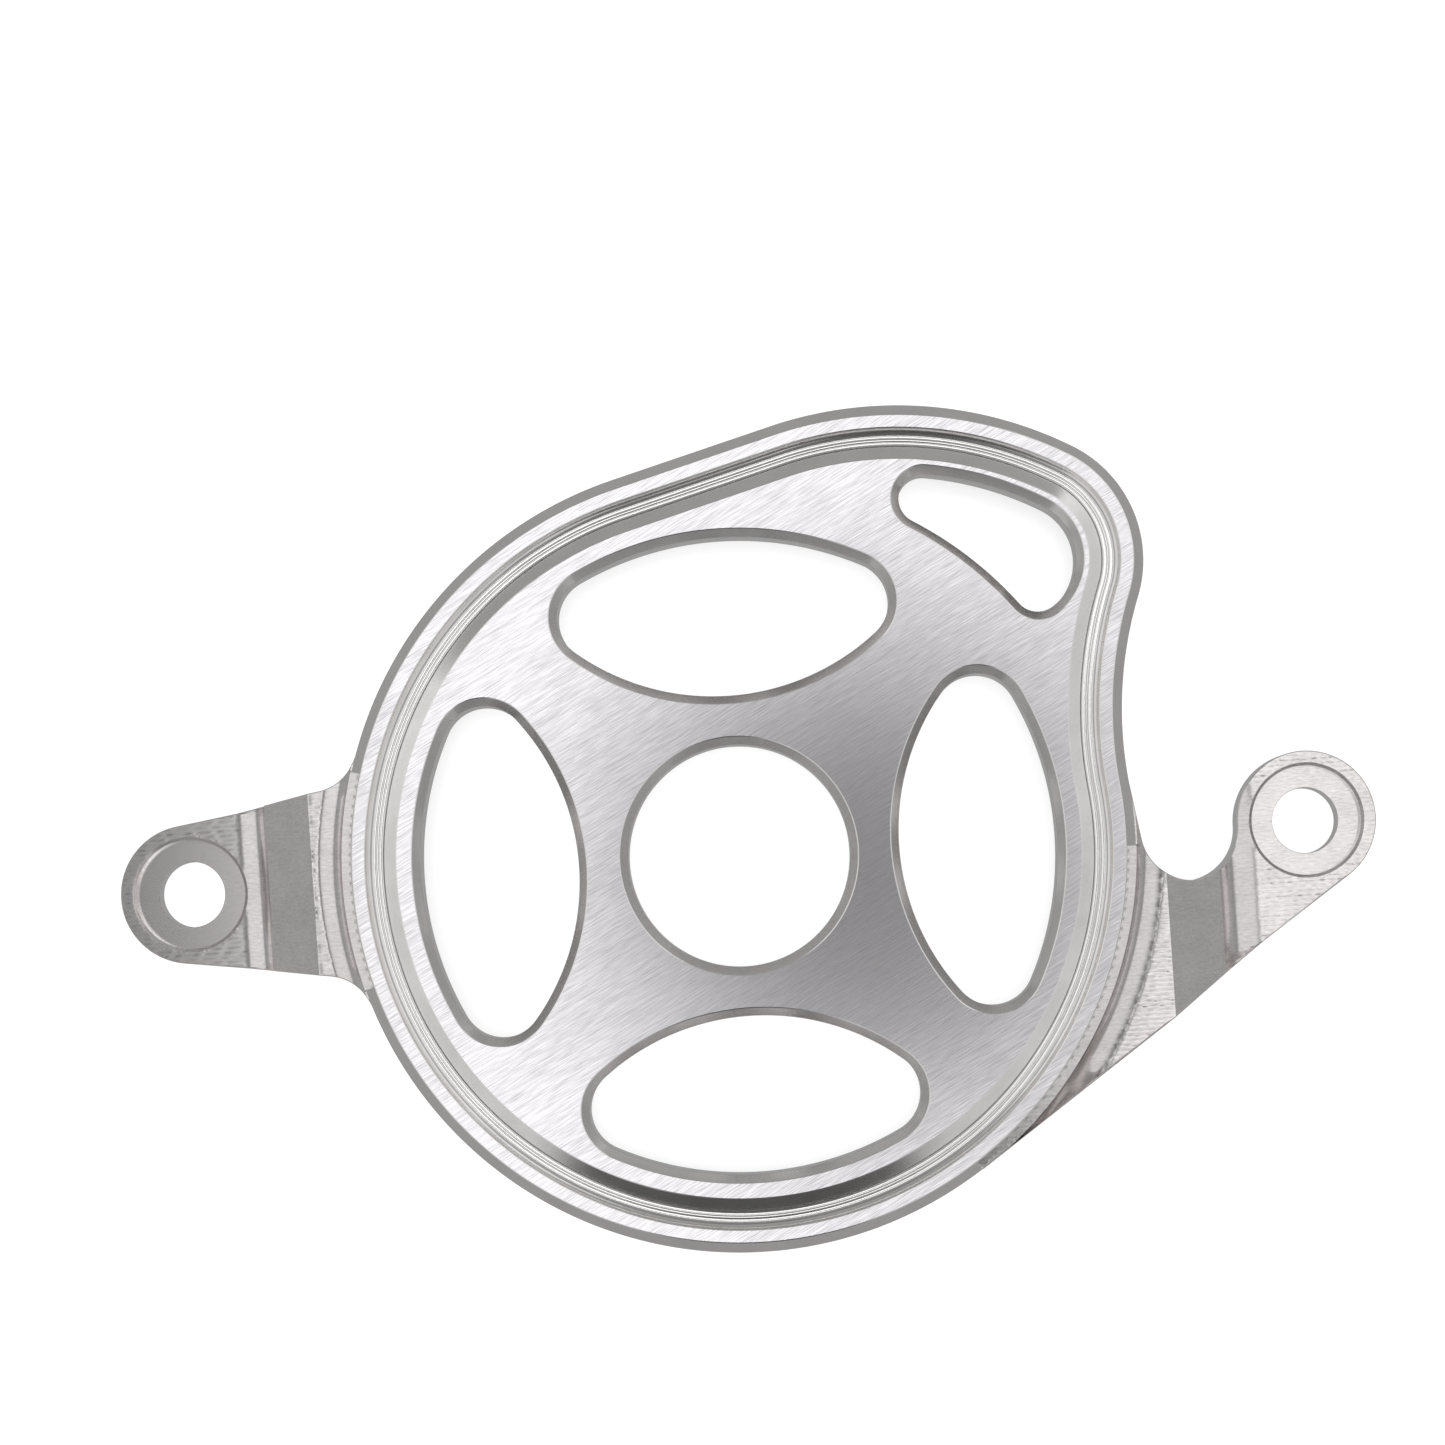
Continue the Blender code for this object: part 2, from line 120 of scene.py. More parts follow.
def stations(arcs, ends=False):
    """Stations along a closed chain of arcs: angles evenly spaced on each arc, with its centre and radius.

    An arc is (centre, radius, turn, start, end). Turn is -1 where the edge bulges, +1 where it is hollow.
    With ends, each arc's last point is kept too, for arcs that straight lines join.
    """
    parts = []
    for centre, radius, turn, start, end in arcs:
        steps = abs(end - start) * max(1.0, TIGHT_RADIUS / radius) / FINE_STEP
        count = max(FEWEST_STATIONS, math.ceil(steps))
        angle = np.linspace(start, end, count, endpoint=ends)
        parts.append(np.column_stack((np.full(count, centre[0]), np.full(count, centre[1]),
                                      np.full(count, radius), np.full(count, turn), angle)))
    return np.concatenate(parts)


def carried(path, profile):
    """The profile carried round the path: every point stands on its station's radius, moved in by the inset."""
    reach = path[:, 2:3] + path[:, 3:4] * profile[None, :, 0]
    x = path[:, 0:1] + reach * np.cos(path[:, 4:5]) + AXIS[0]
    y = path[:, 1:2] + reach * np.sin(path[:, 4:5]) + AXIS[1]
    return np.stack((x, y, np.broadcast_to(profile[None, :, 1], x.shape)), axis=-1)


def filed(profile, cut=FILED_EDGE):
    """The profile with a small flat on every sharp corner: two points, each the cut away along an edge."""
    profile = np.asarray(profile, float)
    back = profile[:-2] - profile[1:-1]
    ahead = profile[2:] - profile[1:-1]
    back /= np.linalg.norm(back, axis=1, keepdims=True)
    ahead /= np.linalg.norm(ahead, axis=1, keepdims=True)
    sharp = ((back * ahead).sum(1) > -math.cos(SHARP_CORNER))[:, None] * cut
    pairs = np.stack((profile[1:-1] + back * sharp, profile[1:-1] + ahead * sharp), axis=1).reshape(-1, 2)
    points = np.concatenate((profile[:1], pairs, profile[-1:]))
    moved = np.concatenate(([True], np.linalg.norm(np.diff(points, axis=0), axis=1) > 1e-7))
    return points[moved]


def quads(points, first, round_rows=False):
    """The quads between neighbouring points of a grid. Round rows join the last row to the first."""
    rows, columns = points.shape[:2]
    index = first + np.arange(rows * columns).reshape(rows, columns)
    if round_rows:
        index = np.concatenate((index, index[:1]))
    return np.stack((index[:-1, :-1], index[1:, :-1], index[1:, 1:], index[:-1, 1:]), axis=-1).reshape(-1, 4)


def placed(name, mesh):
    """The mesh as an object at the origin, smooth except at its sharp edges."""
    thing = bpy.data.objects.new(name, mesh)
    bpy.context.scene.collection.objects.link(thing)
    mesh.shade_smooth()
    mesh.set_sharp_from_angle(angle=SMOOTH_ANGLE)
    return thing


def shell(name, grids, rims=()):
    """A closed skin from grids of points (points, round_rows), and flat fills between the rims' loops.

    No point lies outside the box of the solids.
    """
    corners = np.concatenate([points.reshape(-1, 3) for points, _ in grids])
    first = np.cumsum([0] + [points.shape[0] * points.shape[1] for points, _ in grids])
    faces = np.concatenate([quads(points, start, closed) for (points, closed), start in zip(grids, first)])
    mesh = bpy.data.meshes.new(name)
    mesh.from_pydata(np.clip(corners, *CAD_BOX), [], faces.tolist())
    work = bmesh.new()
    work.from_mesh(mesh)
    bmesh.ops.remove_doubles(work, verts=work.verts, dist=WELD_REACH)
    bmesh.ops.dissolve_degenerate(work, edges=work.edges, dist=1e-7)
    for height in rims:
        loops = [e for e in work.edges if len(e.link_faces) == 1
                 and all(abs(v.co.z - height) < 1e-6 for v in e.verts)]
        bmesh.ops.triangle_fill(work, edges=loops, use_beauty=True)
    bmesh.ops.recalc_face_normals(work, faces=work.faces)
    work.to_mesh(mesh)
    work.free()
    return placed(name, mesh)


FLANK_CENTRE = meeting((0.0, 0.0), MAIN_RADIUS + FLANK_RADIUS, NOSE_CENTRE, NOSE_RADIUS + FLANK_RADIUS, -1)
FLANK_LEAVES = bearing(FLANK_CENTRE)
NOSE_STARTS = bearing(FLANK_CENTRE, NOSE_CENTRE)
edge_path = stations([
    (FLANK_CENTRE, FLANK_RADIUS, 1.0, FLANK_LEAVES + math.pi, NOSE_STARTS + math.pi),
    (NOSE_CENTRE, NOSE_RADIUS, -1.0, NOSE_STARTS, NOSE_BEARING),
    (LOBE_CENTRE, MAIN_RADIUS, -1.0, NOSE_BEARING, LOBE_END),
    ((0.0, 0.0), MAIN_RADIUS, -1.0, LOBE_END, following(FLANK_LEAVES, LOBE_END)),
])


def floor_line(middle):
    """The bottom of one pass in the groove: it rises with the cube of the distance from its middle."""
    across = np.linspace(-1.0, 1.0, 13)
    return np.column_stack((middle - FLOOR_LINE * across, GROOVE_FLOOR + FLOOR_RISE * np.abs(across) ** 3))


floor_lines = np.concatenate((floor_line(GROOVE_MIDDLE + FLOOR_PITCH / 2.0)[:-1],
                              floor_line(GROOVE_MIDDLE - FLOOR_PITCH / 2.0)[:-3]))
steepen = np.linspace(*WALL_SLOPES, 8)[1:, None]
climb = np.hstack((np.sin(steepen) - math.sin(WALL_SLOPES[0]), math.cos(WALL_SLOPES[0]) - np.cos(steepen)))
rim_foot, rim_corner = floor_lines[-1], np.array((RIM_CHAMFER + RIM_WIDTH, RIM_HEIGHT))
rim_wall = rim_foot + (rim_corner - rim_foot) * climb / climb[-1]
turns = np.linspace(0.0, math.pi / 2.0, 9)
pocket = np.column_stack((SKIRT_WALL + POCKET_FILLET * (1.0 - np.cos(turns)),
                          PLATE_UNDERSIDE - POCKET_FILLET * (1.0 - np.sin(turns))))
edge_profile = filed(np.concatenate((
    [(PLATE_EDGE + 2.0 * FILED_EDGE, PLATE_HEIGHT), (PLATE_EDGE, PLATE_HEIGHT),
     (PLATE_EDGE - PLATE_BEVEL, PLATE_HEIGHT - PLATE_BEVEL * BEVEL_SLOPE)],
    floor_lines,
    rim_wall,
    [(RIM_CHAMFER, RIM_HEIGHT), (0.0, RIM_HEIGHT - RIM_CHAMFER), (0.0, SKIRT_BREAK), (SKIRT_BREAK, 0.0),
     (SKIRT_WALL - SKIRT_BREAK, 0.0), (SKIRT_WALL, SKIRT_BREAK)],
    pocket)))

# The plate's openings, a hub hole, four lens windows and the slot in the lobe, are milled right through it
# and broken with a 45 degree cutter that leaves a chamfer 1.1 mm wide.
HUB_HOLE_RADIUS = 0.0159
WINDOW_COUNT = 4
WINDOW_OUTER_REACH = 0.0436
WINDOW_INNER_REACH = 0.0203
WINDOW_INNER_CURVE = 0.0330
WINDOW_CORNER = 0.0068
SLOT_EDGE_WALL = 0.0080
SLOT_INNER_REACH = 0.0492
SLOT_CORNER = 0.0044


def window_path(turned):
    """A lens window: an arc about the axis and a rounder arc towards it, joined by two corner arcs."""
    curve = (0.0, WINDOW_INNER_REACH + WINDOW_INNER_CURVE)
    right = meeting((0.0, 0.0), WINDOW_OUTER_REACH - WINDOW_CORNER, curve, WINDOW_INNER_CURVE - WINDOW_CORNER, -1)
    left = (-right[0], right[1])
    left_low = following(bearing(left, curve), 0.0)
    right_low = following(bearing(right, curve), 0.0)
    path = stations([
        ((0.0, 0.0), WINDOW_OUTER_REACH, -1.0, bearing(right), bearing(left)),
        (left, WINDOW_CORNER, -1.0, bearing(left), left_low),
        (curve, WINDOW_INNER_CURVE, -1.0, left_low, right_low),
        (right, WINDOW_CORNER, -1.0, right_low, following(bearing(right), right_low)),
    ])
    cosine, sine = math.cos(turned), math.sin(turned)
    path[:, :2] = path[:, :2] @ np.array(((cosine, sine), (-sine, cosine)))
    path[:, 4] += turned
    return path


lobe_reach = MAIN_RADIUS - SLOT_EDGE_WALL
nose_reach = NOSE_RADIUS - SLOT_EDGE_WALL
upper = meeting((0.0, 0.0), SLOT_INNER_REACH + SLOT_CORNER, LOBE_CENTRE, lobe_reach - SLOT_CORNER, 1)
lower = meeting((0.0, 0.0), SLOT_INNER_REACH + SLOT_CORNER, NOSE_CENTRE, nose_reach - SLOT_CORNER, -1)
lower_ends = following(bearing(lower, NOSE_CENTRE), bearing(lower) - math.pi)
upper_starts = bearing(upper, LOBE_CENTRE)
slot_path = stations([
    (lower, SLOT_CORNER, -1.0, bearing(lower) - math.pi, lower_ends),
    (NOSE_CENTRE, nose_reach, -1.0, lower_ends, following(NOSE_BEARING, lower_ends)),
    (LOBE_CENTRE, lobe_reach, -1.0, NOSE_BEARING, upper_starts),
    (upper, SLOT_CORNER, -1.0, upper_starts, following(bearing(upper) + math.pi, upper_starts)),
    ((0.0, 0.0), SLOT_INNER_REACH, 1.0, bearing(upper), bearing(lower)),
])
hub_path = stations([((0.0, 0.0), HUB_HOLE_RADIUS, -1.0, 0.0, math.tau)])
opening_profile = filed([(-2.0 * FILED_EDGE, PLATE_HEIGHT), (0.0, PLATE_HEIGHT),
                         (OPENING_CHAMFER, PLATE_HEIGHT - OPENING_CHAMFER), (OPENING_CHAMFER, PLATE_UNDERSIDE),
                         (OPENING_CHAMFER - 2.0 * FILED_EDGE, PLATE_UNDERSIDE)])
opening_paths = [hub_path, slot_path] + [window_path(math.tau * place / WINDOW_COUNT) for place in range(WINDOW_COUNT)]
cap = shell("cap", [(carried(edge_path, edge_profile), True)]
            + [(carried(path, opening_profile), True) for path in opening_paths],
            rims=(PLATE_HEIGHT, PLATE_UNDERSIDE))


def effect(name):
    """An empty node group with a Vector input, and Height and Tone as its outputs."""
    group = bpy.data.node_groups.new(name, "ShaderNodeTree")
    group.interface.new_socket("Vector", in_out="INPUT", socket_type="NodeSocketVector")
    for title in ("Height", "Tone"):
        group.interface.new_socket(title, in_out="OUTPUT", socket_type="NodeSocketFloat")
    return group, group.nodes.new("NodeGroupInput").outputs["Vector"], group.nodes.new("NodeGroupOutput")


def layer(group, vector, size, turned=0.0, detail=1.0, seed=0.0):
    """A noise whose grains have the given size in metres along and across a direction in the plane."""
    shift = group.nodes.new("ShaderNodeMapping")
    shift.vector_type = "TEXTURE"
    shift.inputs["Rotation"].default_value = (0.0, 0.0, turned)
    shift.inputs["Location"].default_value = (seed, seed, seed)
    shift.inputs["Scale"].default_value = size
    noise = group.nodes.new("ShaderNodeTexNoise")
    noise.inputs["Scale"].default_value = 1.0
    noise.inputs["Detail"].default_value = detail
    noise.inputs["Roughness"].default_value = 0.5
    group.links.new(vector, shift.inputs["Vector"])
    group.links.new(shift.outputs["Vector"], noise.inputs["Vector"])
    return noise.outputs["Fac"]


def blend(group, first, second, amount):
    """A weighted mean of two values."""
    mix = group.nodes.new("ShaderNodeMix")
    mix.inputs["Factor"].default_value = amount
    group.links.new(first, mix.inputs["A"])
    group.links.new(second, mix.inputs["B"])
    return mix.outputs["Result"]


NOISE_LOW, NOISE_HIGH = 0.3, 0.7


def spread_over(group, value, low, high):
    """A noise's value, taken from the span where most of it lies to the given range."""
    node = group.nodes.new("ShaderNodeMapRange")
    node.inputs["From Min"].default_value = NOISE_LOW
    node.inputs["From Max"].default_value = NOISE_HIGH
    node.inputs["To Min"].default_value = low
    node.inputs["To Max"].default_value = high
    group.links.new(value, node.inputs["Value"])
    return node.outputs["Result"]


GRAIN = math.radians(28.0)
brushing, vector, leave = effect("brushing")
streaks = layer(brushing, vector, size=(0.0060, 0.00015, 0.01), turned=GRAIN)
scratches = layer(brushing, vector, size=(0.0024, 0.00009, 0.01), turned=GRAIN, seed=0.31)
clouds = layer(brushing, vector, size=(0.006, 0.004, 0.01), turned=GRAIN, detail=2.0, seed=0.7)
brushing.links.new(blend(brushing, streaks, scratches, 0.45), leave.inputs["Height"])
brushing.links.new(blend(brushing, blend(brushing, clouds, streaks, 0.75), scratches, 0.55), leave.inputs["Tone"])

smooth_cut, vector, leave = effect("smooth_cut")
speckle = layer(smooth_cut, vector, size=(0.0004, 0.0004, 0.0004), detail=2.0)
clouds = layer(smooth_cut, vector, size=(0.006, 0.006, 0.006), detail=2.0, seed=0.4)
smooth_cut.links.new(speckle, leave.inputs["Height"])
smooth_cut.links.new(blend(smooth_cut, clouds, speckle, 0.3), leave.inputs["Tone"])


def metal(name, group, depth, rough, tone, colour, torn=0.0):
    """Bare aluminium: the effect's height as a bump of the given depth, its tone in colour and roughness.

    Where the piece's chatter is 1, the metal is darker by the given share.
    """
    made = bpy.data.materials.new(name)
    made.use_nodes = True
    tree = made.node_tree
    shader = tree.nodes["Principled BSDF"]
    shader.inputs["Metallic"].default_value = 1.0
    place = tree.nodes.new("ShaderNodeTexCoord")
    look = tree.nodes.new("ShaderNodeGroup")
    look.node_tree = group
    tree.links.new(place.outputs["Object"], look.inputs["Vector"])
    bump = tree.nodes.new("ShaderNodeBump")
    bump.inputs["Strength"].default_value = 1.0
    bump.inputs["Distance"].default_value = depth
    tree.links.new(look.outputs["Height"], bump.inputs["Height"])
    tree.links.new(bump.outputs["Normal"], shader.inputs["Normal"])
    tree.links.new(spread_over(tree, look.outputs["Tone"], rough[1], rough[0]), shader.inputs["Roughness"])
    tint = tree.nodes.new("ShaderNodeMix")
    tint.data_type = "RGBA"
    tint.inputs["A"].default_value = (*[tone[0] * c for c in colour], 1.0)
    tint.inputs["B"].default_value = (*[tone[1] * c for c in colour], 1.0)
    tree.links.new(spread_over(tree, look.outputs["Tone"], 0.0, 1.0), tint.inputs["Factor"])
    tear = tree.nodes.new("ShaderNodeAttribute")
    tear.attribute_name = "chatter"
    shade = tree.nodes.new("ShaderNodeMix")
    shade.data_type = "RGBA"
    shade.inputs["B"].default_value = (*[(1.0 - torn) * tone[0] * c for c in colour], 1.0)
    tree.links.new(tear.outputs["Fac"], shade.inputs["Factor"])
    tree.links.new(tint.outputs["Result"], shade.inputs["A"])
    tree.links.new(shade.outputs["Result"], shader.inputs["Base Color"])
    return made


brushed = metal("brushed_aluminium", brushing, depth=0.0000030, rough=(0.13, 0.18), tone=(0.54, 0.96),
                colour=(1.0, 0.978, 1.0))
cut = metal("cut_aluminium", smooth_cut, depth=0.0000020, rough=(0.17, 0.24), tone=(0.75, 0.83),
            colour=(1.0, 0.975, 0.965))
# Painted highlight: a smoother metal in a lighter tone for the groove floor's level faces. The lighter tone stands in
# for the bright lines that light draws along the passes.
highlight_painted_metal = metal("smooth_aluminium_painted_highlight", smooth_cut, depth=0.0000020, rough=(0.12, 0.18), tone=(0.93, 0.99),
                  colour=(1.0, 0.985, 0.975))
# Painted shade: a rougher metal in a darker tone for the groove floor's steep faces. The darker tone stands in for the
# shade that falls between the passes.
shade_painted_metal = metal("rough_aluminium_painted_shade", smooth_cut, depth=0.0000020, rough=(0.26, 0.34), tone=(0.40, 0.52),
               colour=(1.0, 0.975, 0.975))


def dress(thing, materials, choose):
    """Puts materials on a piece. Choose gives the material number from faces' normals and middles."""
    mesh = thing.data
    for made in materials:
        mesh.materials.append(made)
    count = len(mesh.polygons)
    normal, middle = np.empty(count * 3), np.empty(count * 3)
    mesh.polygons.foreach_get("normal", normal)
    mesh.polygons.foreach_get("center", middle)
    mesh.polygons.foreach_set("material_index", choose(normal.reshape(-1, 3), middle.reshape(-1, 3)).astype(np.int32))
    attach(thing, "root")
    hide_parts("motor_cover")


# In the groove's floor, faces whose normal's upright part is above 0.97 get the painted highlight, and those below
# 0.93 get the painted shade.
LEVEL, HIGHLIGHT_PAINTED_ABOVE, SHADE_PAINTED_BELOW = 0.999, 0.97, 0.93  # upright parts of a face's normal


def cap_finish(normal, middle):
    """Brushed on the flats of the face, plainly cut elsewhere. In the groove's floor the level faces get a smoother
    metal painted lighter, a painted highlight, and the steep faces a rougher metal painted darker, a painted shade.
    """
    up, height = normal[:, 2], middle[:, 2]
    flat = (up > LEVEL) & (height > RIM_HEIGHT - 0.0001)
    floor = (height > GROOVE_FLOOR - 0.00001) & (height < GROOVE_FLOOR + FLOOR_RISE)
    # Material 2 is the painted highlight on level floor faces, and material 3 is the painted shade on steep floor
    # faces.
    return np.select((flat, floor & (up > HIGHLIGHT_PAINTED_ABOVE), floor & (up < SHADE_PAINTED_BELOW)), (0, 2, 3), 1)


dress(cap, (brushed, cut, highlight_painted_metal, shade_painted_metal), cap_finish)

# Ears
# Each ear steps down from the cap to a flat pad for an M8 bolt: fillet, ledge, 45 degree ramp and cove. They
# are one with the cap and of the same aluminium. A ball-nosed mill cut them in straight passes whose crests
# and torn dashes still show, and the counterbored hole came last.
WALL_FILLET = 0.0036
LEDGE_HEIGHT = 0.0185
PAD_HEIGHT = 0.0065
TIP_RADIUS = 0.0095
BOLT_HOLE_RADIUS = 0.0045
HOLE_WEAR = 0.00006
COUNTERBORE_RADIUS = 0.0075
COUNTERBORE_DEPTH = 0.0020
COUNTERBORE_CHAMFER = 0.0004
EDGE_WEAR = 0.00012
ROOT_REACH = MAIN_RADIUS - 0.0025
FOOT_REACH = MAIN_RADIUS + WALL_FILLET
BAND_SLOPE = math.tan(math.radians(11.0))
BAND_INNER_REACH = MAIN_RADIUS - 0.0017
CAP_WALL_TOP = RIM_HEIGHT - RIM_CHAMFER - 0.0002
PASS_WIDTH = 0.00064
PASS_RIDGE = 0.000034
RIDGE_WIDTH = 0.00016
PASS_SCALLOP = 0.000006
FAN_SCALLOP = 0.000010
FAN_FADE = 0.0010
SWELL_LENGTH = 0.0023
BORDER_DIP = 0.000090
BORDER_WIDTH = 0.00026
TONGUE = 0.000035
TONGUE_REACH = MAIN_RADIUS - 0.0011
TONGUE_FADE = 0.0004
TORN_ROWS = 0.42
TORN_FOOT_WIDTH = 0.00040
TORN_EDGE_WIDTH = 0.00020
TORN_EDGE_INSET = 0.0003
RIM_DOTS = 0.75
RIM_DOTS_REACH = MAIN_RADIUS - 0.00112
RIM_DOTS_WIDTH = 0.00014
POINTS_APART = 0.0004
ROWS_A_PASS = 5
BAND_RINGS = np.array((0.0018, 0.00165, 0.0015, 0.0013, 0.0011, 0.0009, 0.0007, 0.0004))  # in from the cap's edge
FOOT_RINGS = np.array((-0.00024, -0.00012, 0.00012, 0.00024, 0.00038, 0.00055, 0.00075))  # about the foot
OVERHANG = 0.001
SLIVER = 0.00002
BACK_HEIGHT = 0.00001


def plan_points(path, inset=0.0):
    """Plan points of a path, moved into the metal by the inset."""
    reach = path[:, 2] + path[:, 3] * inset
    return np.column_stack((path[:, 0] + reach * np.cos(path[:, 4]), path[:, 1] + reach * np.sin(path[:, 4])))


def circle(centre, radius, every):
    """A circle in plan, on every second or third of its stations."""
    return plan_points(stations([(centre, radius, -1.0, 0.0, math.tau)])[::every])


def within(points, loop):
    """Which points lie inside a closed loop: those from which a ray crosses it an odd number of times."""
    start, end = loop, np.roll(loop, -1, axis=0)
    rise = end[:, 1] - start[:, 1]
    rise = np.where(np.abs(rise) < 1e-12, 1e-12, rise)
    answer = []
    for some in np.array_split(points, max(1, len(points) // 4000)):
        x, y = some[:, :1], some[:, 1:]
        spans = (start[:, 1] > y) != (end[:, 1] > y)
        crossing = start[:, 0] + (y - start[:, 1]) / rise * (end[:, 0] - start[:, 0])
        answer.append((spans & (x < crossing)).sum(axis=1) % 2 == 1)
    return np.concatenate(answer)


def bell(distance, width):
    """A bell curve: 1 at no distance, falling with the exponential of minus the distance over the width squared."""
    return np.exp(-(distance / width) ** 2)


def ridge(y, pitch):
    """Sharp ridges between passes: 1 on each multiple of the pitch, falling off exponentially on both sides."""
    return np.exp(-np.abs(y - np.floor(y / pitch + 0.5) * pitch) / RIDGE_WIDTH)


def scallop(y, pitch):
    """Round-bottomed passes side by side: 0 in the middle of each pass, 1 on the crest between two."""
    return 1.0 - np.abs(np.sin(math.pi * y / pitch))


def uneven(u, y, pitch):
    """A factor from 0 to 1 that differs from pass to pass and swells and fades along each.

    Each pass gets its chance from the broken part of a large sine of its number, and its swell is a sine
    along the pass that the chance shifts.
    """
    number = np.floor(y / pitch + 0.5)
    chance = np.modf(np.abs(np.sin(number * 12.9898) * 43758.5))[0]
    return (0.35 + 0.65 * chance) * (0.55 + 0.45 * np.sin(math.tau * (u / SWELL_LENGTH + 9.0 * chance)))


def cove_radius(ramp_run, cove_run):
    """The radius of the cove's circle, which touches the pad and meets the end of the ramp.

    Where the drop left is less than the cove's run, it is the run squared plus the drop squared, over
    twice the drop. Elsewhere it is the run, and the rest of the drop is upright.
    """
    drop = LEDGE_HEIGHT - ramp_run - PAD_HEIGHT
    return cove_run if drop >= cove_run else (cove_run ** 2 + drop ** 2) / (2.0 * drop)


def ear_heights(point, bolt, ramp_top, ramp_run, cove_run, band, marks, torn):
    """Height of the ear's top over each plan point, in steps away from the cap, with the crests added.

    The top is level to the ramp, falls at 45 degrees, may drop upright, and runs out in a circle on to the
    pad. Near the cap it rises in a quarter circle, and within the band it goes on up a shallow cone. Marks
    is how deep the cutter's marks are on this ear, and torn's first value how deep its teeth are at the
    fillet's foot.
    """
    u, y = point[:, 0], point[:, 1]
    reach, angle = np.hypot(u, y), np.arctan2(y, u)
    wall = ramp_top + ramp_run
    radius = cove_radius(ramp_run, cove_run)
    cove = PAD_HEIGHT + radius - np.sqrt(np.maximum(radius ** 2 - np.minimum(u - wall - cove_run, 0.0) ** 2, 0.0))
    top = np.where(u <= ramp_top, LEDGE_HEIGHT,
                   np.where(u <= wall + 1e-8, LEDGE_HEIGHT - (u - ramp_top), cove))
    on_ramp = (u > ramp_top + 0.0001) & (u < wall + cove_run / 2.0)
    crests = (PASS_RIDGE * ridge(y, PASS_WIDTH) * uneven(u, y, PASS_WIDTH) + PASS_SCALLOP * scallop(y, PASS_WIDTH))
    top = top + np.where(on_ramp, 0.0, marks * crests)

    into = np.clip(FOOT_REACH - reach, 0.0, WALL_FILLET)
    fillet = LEDGE_HEIGHT + WALL_FILLET - np.sqrt(WALL_FILLET ** 2 - into ** 2)
    fan = marks * FAN_SCALLOP * scallop(y, PASS_WIDTH)
    fade = np.clip(into / WALL_FILLET * 3.0, 0.0, 1.0) * np.clip((reach - MAIN_RADIUS) / FAN_FADE, 0.0, 1.0)
    teeth = 0.30 + 0.70 * uneven(u, y, PASS_WIDTH / 2.0)
    serrated = torn[0] * BORDER_DIP * bell(reach - FOOT_REACH, BORDER_WIDTH) * teeth
    height = np.where(reach < FOOT_REACH, fillet + fan * fade, top) - serrated

    tongues = TONGUE * scallop(y, 2.0 * PASS_WIDTH) * np.clip((TONGUE_REACH - reach) / TONGUE_FADE, 0.0, 1.0)
    cone = LEDGE_HEIGHT + WALL_FILLET + (MAIN_RADIUS - reach) * BAND_SLOPE + tongues + fan
    cone = np.where(reach < BAND_INNER_REACH, LEDGE_HEIGHT + WALL_FILLET, cone)
    banded = (angle > band[0]) & (angle < band[1])
    height = np.where(banded & (reach < MAIN_RADIUS), cone, height)
    height = np.where(banded, height, np.minimum(height, CAP_WALL_TOP))

    from_bolt = np.hypot(u - bolt, y)
    chamfer = PAD_HEIGHT - COUNTERBORE_CHAMFER + np.maximum(from_bolt - COUNTERBORE_RADIUS, 0.0)
    height = np.where(from_bolt < COUNTERBORE_RADIUS + COUNTERBORE_CHAMFER, np.minimum(height, chamfer), height)
    floor = PAD_HEIGHT - COUNTERBORE_DEPTH - np.clip(BOLT_HOLE_RADIUS + HOLE_WEAR - from_bolt, 0.0, HOLE_WEAR)
    return np.where(from_bolt < COUNTERBORE_RADIUS - SLIVER / 2.0, floor, height)


def chatter(point, bolt, ramp_top, foot, band, torn):
    """How torn the surface is at each plan point, from 0 to 1.

    It is torn in short dashes between the passes on the flats, in teeth along the fillet's foot and the
    ledge's edge, which torn gives two strengths for, and in a dotted line along the rim.
    """
    u, y = point[:, 0], point[:, 1]
    reach, angle = np.hypot(u, y), np.arctan2(y, u)
    ledge = (u < ramp_top) & (reach > FOOT_REACH)
    pad = (u > foot) & (np.hypot(u - bolt, y) > COUNTERBORE_RADIUS + 0.0005)
    dashes = ridge(y, PASS_WIDTH) ** 1.5 * uneven(1.7 * u, y, PASS_WIDTH)
    rows = TORN_ROWS * np.where(ledge | pad, dashes, 0.0)
    teeth = uneven(u, y, PASS_WIDTH)
    at_foot = torn[0] * (0.45 + 0.55 * teeth) * bell(reach - FOOT_REACH, TORN_FOOT_WIDTH) * (u < ramp_top)
    at_edge = torn[1] * teeth * bell(u - ramp_top + TORN_EDGE_INSET, TORN_EDGE_WIDTH)
    dots = scallop(y + 0.4 * PASS_WIDTH, 2.0 * PASS_WIDTH) * bell(reach - RIM_DOTS_REACH, RIM_DOTS_WIDTH)
    at_rim = np.where((angle > band[0]) & (angle < band[1]), RIM_DOTS * dots, 0.0)
    return np.clip(np.maximum.reduce((rows, at_foot, at_edge, at_rim)), 0.0, 1.0)


def ear_chains(outline, path, bolt, steps, band):
    """The edges that an ear's plan keeps: its outline, the circles round its bolt, its steps and its band's ends."""
    centre = (bolt, 0.0)
    loops = [outline, plan_points(path, EDGE_WEAR)]
    loops += [circle(centre, radius, 3) for radius in (BOLT_HOLE_RADIUS, BOLT_HOLE_RADIUS + HOLE_WEAR)]
    loops += [circle(centre, radius, 2) for radius in (COUNTERBORE_RADIUS - SLIVER, COUNTERBORE_RADIUS,
                                                       COUNTERBORE_RADIUS + COUNTERBORE_CHAMFER)]
    low, high = outline[:, 1].min() - OVERHANG, outline[:, 1].max() + OVERHANG
    lines = [np.array(((u, low), (u, high))) for u in steps]
    spokes = [np.array([(r * math.cos(a), r * math.sin(a)) for r in (ROOT_REACH - 0.0005, FOOT_REACH + 0.0005)])
              for end in band for a in (end - 0.0004, end + 0.0004)]
    return loops + lines + spokes


